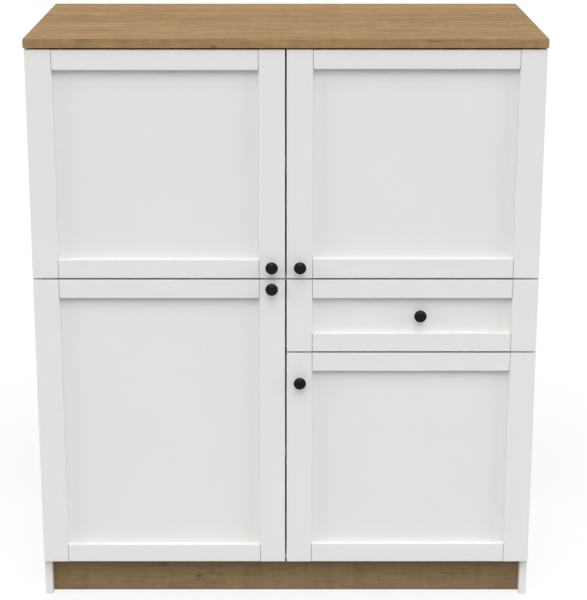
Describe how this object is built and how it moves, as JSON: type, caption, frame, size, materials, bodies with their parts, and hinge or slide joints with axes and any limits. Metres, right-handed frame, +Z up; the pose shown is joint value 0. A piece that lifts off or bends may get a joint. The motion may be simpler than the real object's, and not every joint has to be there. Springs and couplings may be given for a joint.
{
  "type": "cabinet",
  "caption": "Free-standing white cupboard with framed doors, a framed drawer, dark round knobs, adjustable shelves, and an oak-effect worktop and plinth.",
  "frame": {"origin": "on the floor, in the middle of the width, half way from the knobs' faces to the rear edge", "axes": "+Z up, the doors and drawer face -Y, +X to the right as seen by someone facing the doors"},
  "size_m": [1.032, 0.558, 1.2],
  "materials": {
    "oak_effect": "oak-effect laminate on board, satin",
    "white_board": "white melamine-faced board, matt",
    "white_front": "white foil on fibreboard frame members, satin",
    "white_panel": "white foil on thin fibreboard, satin",
    "back_board": "thin hardboard, white on the inside",
    "drawer_base": "thin hardboard, white",
    "knob_black": "satin black paint on a turned metal knob",
    "hinge_steel": "nickel-plated pressed steel",
    "pin_steel": "zinc-plated steel",
    "runner_white": "white powder coat on rolled steel",
    "roller_nylon": "white nylon",
    "strip_plastic": "white extruded plastic"
  },
  "bodies": {
    "carcass": {"back_joint_strip": "strip_plastic", "bottom_panel": "white_board", "cabinet_runners": "runner_white", "drawer_divider": "white_board", "hinge_arms": "hinge_steel", "hinge_plates": "hinge_steel", "left_back_panel": "back_board", "left_side_panel": "white_board", "lower_left_shelf": "white_board", "lower_partition": "white_board", "lower_right_shelf": "white_board", "mid_board": "white_board", "plinth_front": "oak_effect", "plinth_rear": "white_board", "plinth_support": "white_board", "right_back_panel": "back_board", "right_side_panel": "white_board", "shelf_pins": "pin_steel", "upper_left_shelf": "white_board", "upper_partition": "white_board", "upper_right_shelf": "white_board", "worktop": "oak_effect"},
    "upper_left_door": {"upper_left_door_hinge_cups": "hinge_steel", "upper_left_door_knob": "knob_black", "upper_left_door_panel": "white_panel", "upper_left_door_rails": "white_front", "upper_left_door_stiles": "white_front"},
    "upper_right_door": {"upper_right_door_hinge_cups": "hinge_steel", "upper_right_door_knob": "knob_black", "upper_right_door_panel": "white_panel", "upper_right_door_rails": "white_front", "upper_right_door_stiles": "white_front"},
    "lower_left_door": {"lower_left_door_hinge_cups": "hinge_steel", "lower_left_door_knob": "knob_black", "lower_left_door_panel": "white_panel", "lower_left_door_rails": "white_front", "lower_left_door_stiles": "white_front"},
    "lower_right_door": {"lower_right_door_hinge_cups": "hinge_steel", "lower_right_door_knob": "knob_black", "lower_right_door_panel": "white_panel", "lower_right_door_rails": "white_front", "lower_right_door_stiles": "white_front"},
    "drawer": {"drawer_back": "white_board", "drawer_bottom": "drawer_base", "drawer_front_panel": "white_panel", "drawer_front_rails": "white_front", "drawer_front_stiles": "white_front", "drawer_inner_front": "white_board", "drawer_knob": "knob_black", "drawer_left_side": "white_board", "drawer_right_side": "white_board", "drawer_runners": "runner_white"},
    "front_rollers": {"front_rollers": "roller_nylon"},
    "rear_rollers": {"rear_rollers": "roller_nylon"}
  },
  "joints": [
    {"name": "upper_left_door_hinge", "type": "hinge", "parent": "carcass", "child": "upper_left_door", "pos_m": [-0.50725, -0.2486, 0.94525], "axis": [0, 0, -1], "range_deg": [0, 95]},
    {"name": "upper_right_door_hinge", "type": "hinge", "parent": "carcass", "child": "upper_right_door", "pos_m": [0.50725, -0.2486, 0.94525], "axis": [0, 0, 1], "range_deg": [0, 95]},
    {"name": "lower_left_door_hinge", "type": "hinge", "parent": "carcass", "child": "lower_left_door", "pos_m": [-0.50725, -0.2486, 0.397], "axis": [0, 0, -1], "range_deg": [0, 95]},
    {"name": "lower_right_door_hinge", "type": "hinge", "parent": "carcass", "child": "lower_right_door", "pos_m": [0.50725, -0.2486, 0.31875], "axis": [0, 0, 1], "range_deg": [0, 95]},
    {"name": "drawer_slide", "type": "slide", "parent": "carcass", "child": "drawer", "axis": [0, -1, 0], "range_m": [0, 0.32]},
    {"name": "front_rollers_spin", "type": "hinge", "parent": "carcass", "child": "front_rollers", "pos_m": [0.259, -0.22, 0.59035], "axis": [1, 0, 0], "range_deg": [0, 2300]},
    {"name": "rear_rollers_spin", "type": "hinge", "parent": "drawer", "child": "rear_rollers", "pos_m": [0.259, 0.189, 0.59015], "axis": [1, 0, 0], "range_deg": [0, 2300]}
  ],
  "couplings": [
    {"joint": "front_rollers_spin", "follows": "drawer_slide", "rad_per_m": 125},
    {"joint": "rear_rollers_spin", "follows": "drawer_slide", "rad_per_m": 125}
  ]
}
